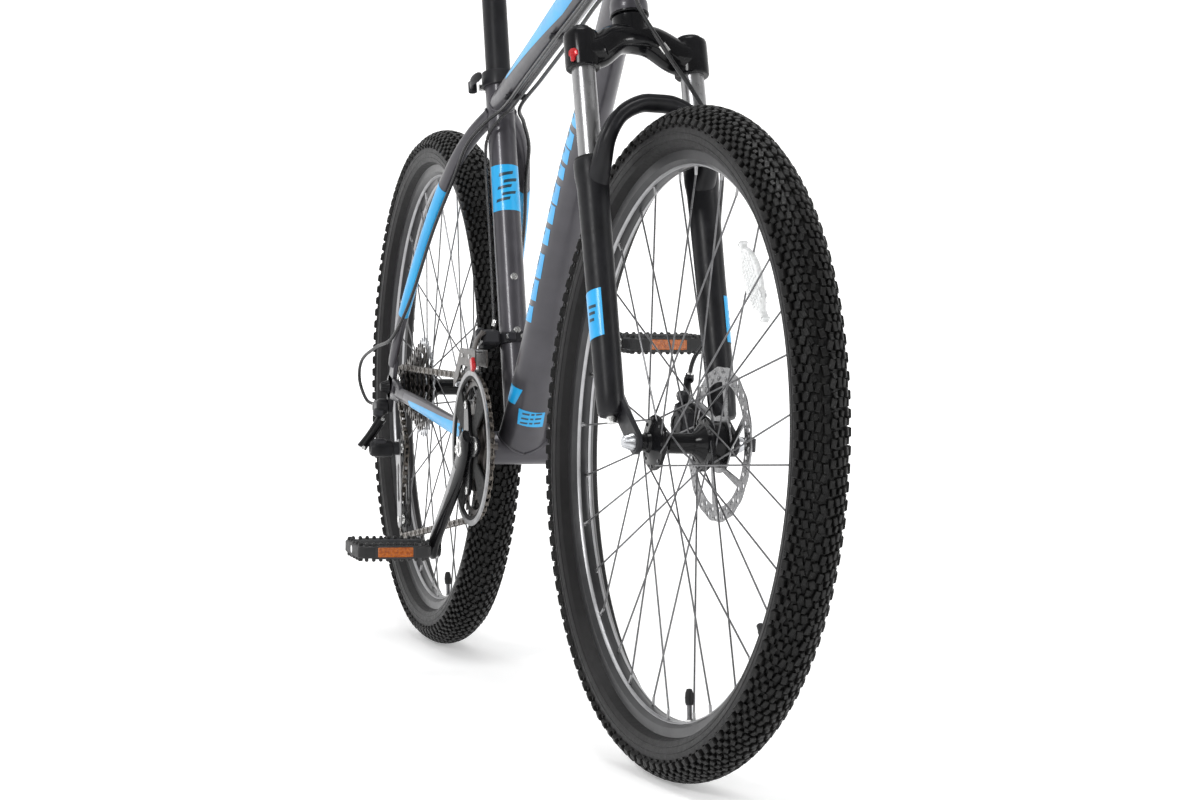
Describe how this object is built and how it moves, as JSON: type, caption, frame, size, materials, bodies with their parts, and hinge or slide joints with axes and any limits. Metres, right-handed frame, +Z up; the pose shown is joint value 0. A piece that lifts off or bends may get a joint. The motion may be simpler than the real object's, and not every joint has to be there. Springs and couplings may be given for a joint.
{
  "type": "mountain bike",
  "caption": "Hardtail mountain bike with a suspension fork, disc brakes, derailleur gears, knobbly tyres and a padded saddle.",
  "frame": {"origin": "on the ground, midway along and across the bounding box", "axes": "+X forward, +Y to the rider's left, +Z up"},
  "size_m": [1.7604, 0.6804, 1.0262],
  "materials": {
    "frame_paint": "charcoal metallic lacquer",
    "black_gloss": "gloss black",
    "black_satin": "satin black",
    "steel": "plated",
    "chain_steel": "oiled",
    "tyre_rubber": "matte",
    "grip_rubber": "matte",
    "saddle_cover": "soft vinyl",
    "black_plastic": "moulded"
  },
  "bodies": {
    "frame": {"head_tube": "frame_paint", "top_tube": "frame_paint", "down_tube": "frame_paint", "seat_tube": "frame_paint", "chainstay_left": "frame_paint", "chainstay_right": "frame_paint", "seatstay_left": "frame_paint", "seatstay_right": "frame_paint", "seat_clamp": "black_satin", "rear_skewer": "steel", "rear_caliper": "black_satin", "front_derailleur_clamp": "black_satin", "rear_derailleur_body": "black_satin", "chain": "chain_steel", "rear_brake_cable": "black_plastic", "rear_shift_cable": "black_plastic", "front_shift_cable": "black_plastic"},
    "steerer": {"fork_crown": "black_gloss", "stem": "black_satin", "handlebar": "black_satin", "grip_left": "grip_rubber", "grip_right": "grip_rubber", "control_pod_left": "black_satin", "control_pod_right": "black_satin", "front_brake_cable": "black_plastic"},
    "fork_lowers": {"fork_lowers": "black_satin", "front_caliper": "black_satin", "front_skewer": "steel"},
    "front_wheel": {"front_tyre": "tyre_rubber", "front_rim": "black_gloss", "front_spokes": "steel", "front_hub": "black_satin"},
    "rear_wheel": {"rear_tyre": "tyre_rubber", "rear_rim": "black_gloss", "rear_spokes": "steel", "rear_hub": "black_satin"},
    "cassette": {"cassette": "steel"},
    "crankset": {"crank_arm_right": "black_gloss", "crank_arm_left": "black_gloss", "chainrings": "steel"},
    "pedal_left": {"pedal_left": "black_plastic"},
    "pedal_right": {"pedal_right": "black_plastic"},
    "brake_lever_left": {"brake_lever_left": "black_satin"},
    "brake_lever_right": {"brake_lever_right": "black_satin"},
    "thumb_lever_left": {"thumb_lever_left": "black_plastic"},
    "thumb_lever_right": {"thumb_lever_right": "black_plastic"},
    "seatpost": {"seatpost": "black_satin"},
    "saddle": {"saddle_rails": "steel", "saddle": "saddle_cover"},
    "rear_derailleur_link": {"rear_derailleur_link": "black_satin"},
    "rear_derailleur_knuckle": {"rear_derailleur_knuckle": "black_satin"},
    "rear_derailleur_cage": {"rear_derailleur_cage": "black_satin"},
    "guide_pulley": {"guide_pulley": "black_plastic"},
    "tension_pulley": {"tension_pulley": "black_plastic"},
    "front_derailleur_cage": {"front_derailleur_cage": "steel"},
    "front_caliper_arm": {"front_caliper_arm": "black_satin"},
    "rear_caliper_arm": {"rear_caliper_arm": "black_satin"},
    "seat_quick_lever": {"seat_quick_lever": "black_satin"},
    "front_quick_lever": {"front_quick_lever": "black_satin"},
    "rear_quick_lever": {"rear_quick_lever": "black_satin"}
  },
  "joints": [
    {"name": "steering", "type": "hinge", "parent": "frame", "child": "steerer", "pos_m": [0.49258, -0.0062, 0.32841], "axis": [-0.3387, 0, 0.9409], "range_deg": [-65.8, 54.2], "deforming": ["rear_brake_cable", "rear_shift_cable", "front_shift_cable"]},
    {"name": "fork_travel", "type": "slide", "parent": "steerer", "child": "fork_lowers", "axis": [-0.3387, 0, 0.9409], "range_m": [0, 0.095], "stiffness_N_per_m": 8000, "springref_m": -0.0125, "deforming": ["front_brake_cable"]},
    {"name": "front_wheel_spin", "type": "hinge", "parent": "fork_lowers", "child": "front_wheel", "pos_m": [0.53657, -0.00145, 0.34425], "axis": [-0.0951, 0.9949, -0.0342], "continuous": true},
    {"name": "rear_wheel_spin", "type": "hinge", "parent": "frame", "child": "rear_wheel", "pos_m": [-0.5362, -0.0062, 0.344], "axis": [0, 1, 0], "continuous": true},
    {"name": "crank_spin", "type": "hinge", "parent": "frame", "child": "crankset", "pos_m": [-0.11533, -0.0062, 0.2926], "axis": [0, 1, 0], "continuous": true, "deforming": ["chain"]},
    {"name": "pedal_left_spin", "type": "hinge", "parent": "crankset", "child": "pedal_left", "pos_m": [-0.0088, 0.1338, 0.42509], "axis": [0, 1, 0], "continuous": true},
    {"name": "pedal_right_spin", "type": "hinge", "parent": "crankset", "child": "pedal_right", "pos_m": [-0.22185, -0.1462, 0.16011], "axis": [0, 1, 0], "continuous": true},
    {"name": "cassette_spin", "type": "hinge", "parent": "frame", "child": "cassette", "pos_m": [-0.5362, -0.0062, 0.344], "axis": [0, 1, 0], "continuous": true},
    {"name": "rear_derailleur_swing", "type": "hinge", "parent": "frame", "child": "rear_derailleur_link", "pos_m": [-0.5452, -0.0882, 0.3005], "axis": [1, 0, 0], "range_deg": [-3, 38], "stiffness_Nm_per_rad": 1},
    {"name": "rear_derailleur_level", "type": "hinge", "parent": "rear_derailleur_link", "child": "rear_derailleur_knuckle", "pos_m": [-0.5452, -0.1142, 0.2625], "axis": [1, 0, 0], "range_deg": [-38, 3]},
    {"name": "rear_derailleur_tension", "type": "hinge", "parent": "rear_derailleur_knuckle", "child": "rear_derailleur_cage", "pos_m": [-0.5277, -0.0614, 0.262], "axis": [0, 1, 0], "range_deg": [-45, 30], "stiffness_Nm_per_rad": 0.5},
    {"name": "guide_pulley_spin", "type": "hinge", "parent": "rear_derailleur_cage", "child": "guide_pulley", "pos_m": [-0.5277, -0.0614, 0.262], "axis": [0, 1, 0], "continuous": true},
    {"name": "tension_pulley_spin", "type": "hinge", "parent": "rear_derailleur_cage", "child": "tension_pulley", "pos_m": [-0.5147, -0.0614, 0.168], "axis": [0, 1, 0], "continuous": true},
    {"name": "front_derailleur_swing", "type": "hinge", "parent": "frame", "child": "front_derailleur_cage", "pos_m": [-0.1477, -0.0402, 0.432], "axis": [1, 0, 0], "range_deg": [-2, 17], "stiffness_Nm_per_rad": 1},
    {"name": "brake_lever_left_squeeze", "type": "hinge", "parent": "steerer", "child": "brake_lever_left", "pos_m": [0.34936, 0.20227, 0.95312], "axis": [0.6061, 0.1351, 0.7839], "range_deg": [0, 17.5], "stiffness_Nm_per_rad": 0.4, "springref_deg": -17.19},
    {"name": "thumb_lever_left_push", "type": "hinge", "parent": "steerer", "child": "thumb_lever_left", "pos_m": [0.29703, 0.18874, 0.95573], "axis": [-0.6061, -0.1351, -0.7839], "range_deg": [0, 35], "stiffness_Nm_per_rad": 0.1, "springref_deg": -17.19},
    {"name": "brake_lever_right_squeeze", "type": "hinge", "parent": "steerer", "child": "brake_lever_right", "pos_m": [0.38732, -0.19495, 0.96679], "axis": [-0.6156, -0.0357, -0.7873], "range_deg": [0, 17.5], "stiffness_Nm_per_rad": 0.4, "springref_deg": -17.19},
    {"name": "thumb_lever_right_push", "type": "hinge", "parent": "steerer", "child": "thumb_lever_right", "pos_m": [0.33336, -0.19143, 0.96881], "axis": [0.6156, 0.0357, 0.7873], "range_deg": [0, 35], "stiffness_Nm_per_rad": 0.1, "springref_deg": -17.19},
    {"name": "front_caliper_arm_pull", "type": "hinge", "parent": "fork_lowers", "child": "front_caliper_arm", "pos_m": [0.44806, 0.03785, 0.35929], "axis": [-0.0951, 0.9949, -0.0342], "range_deg": [0, 17.5]},
    {"name": "rear_caliper_arm_pull", "type": "hinge", "parent": "frame", "child": "rear_caliper_arm", "pos_m": [-0.45646, 0.0542, 0.37622], "axis": [0, 1, 0], "range_deg": [-17.5, 0]},
    {"name": "seatpost_height", "type": "slide", "parent": "frame", "child": "seatpost", "axis": [-0.2874, 0, 0.9578], "range_m": [-0.1, 0.06]},
    {"name": "saddle_tilt", "type": "hinge", "parent": "seatpost", "child": "saddle", "pos_m": [-0.29924, -0.0062, 0.90561], "axis": [0, 1, 0], "range_deg": [-15, 15]},
    {"name": "seat_quick_lever_open", "type": "hinge", "parent": "frame", "child": "seat_quick_lever", "pos_m": [-0.27673, -0.0334, 0.73487], "axis": [0.2874, 0, -0.9578], "range_deg": [0, 160]},
    {"name": "front_quick_lever_open", "type": "hinge", "parent": "fork_lowers", "child": "front_quick_lever", "pos_m": [0.52958, 0.07167, 0.34173], "axis": [0.0002, -0.0344, -0.9994], "range_deg": [0, 160]},
    {"name": "rear_quick_lever_open", "type": "hinge", "parent": "frame", "child": "rear_quick_lever", "pos_m": [-0.5362, 0.085, 0.344], "axis": [-0.9368, 0, -0.3499], "range_deg": [0, 160]}
  ],
  "couplings": [
    {"joint": "cassette_spin", "follows": "crank_spin", "ratio": 3.2308},
    {"joint": "tension_pulley_spin", "follows": "crank_spin", "ratio": 3.8182},
    {"joint": "guide_pulley_spin", "follows": "crank_spin", "ratio": -3.8182},
    {"joint": "rear_derailleur_level", "follows": "rear_derailleur_swing", "ratio": -1},
    {"joint": "front_caliper_arm_pull", "follows": "brake_lever_left_squeeze", "ratio": 1},
    {"joint": "rear_caliper_arm_pull", "follows": "brake_lever_right_squeeze", "ratio": -1}
  ]
}
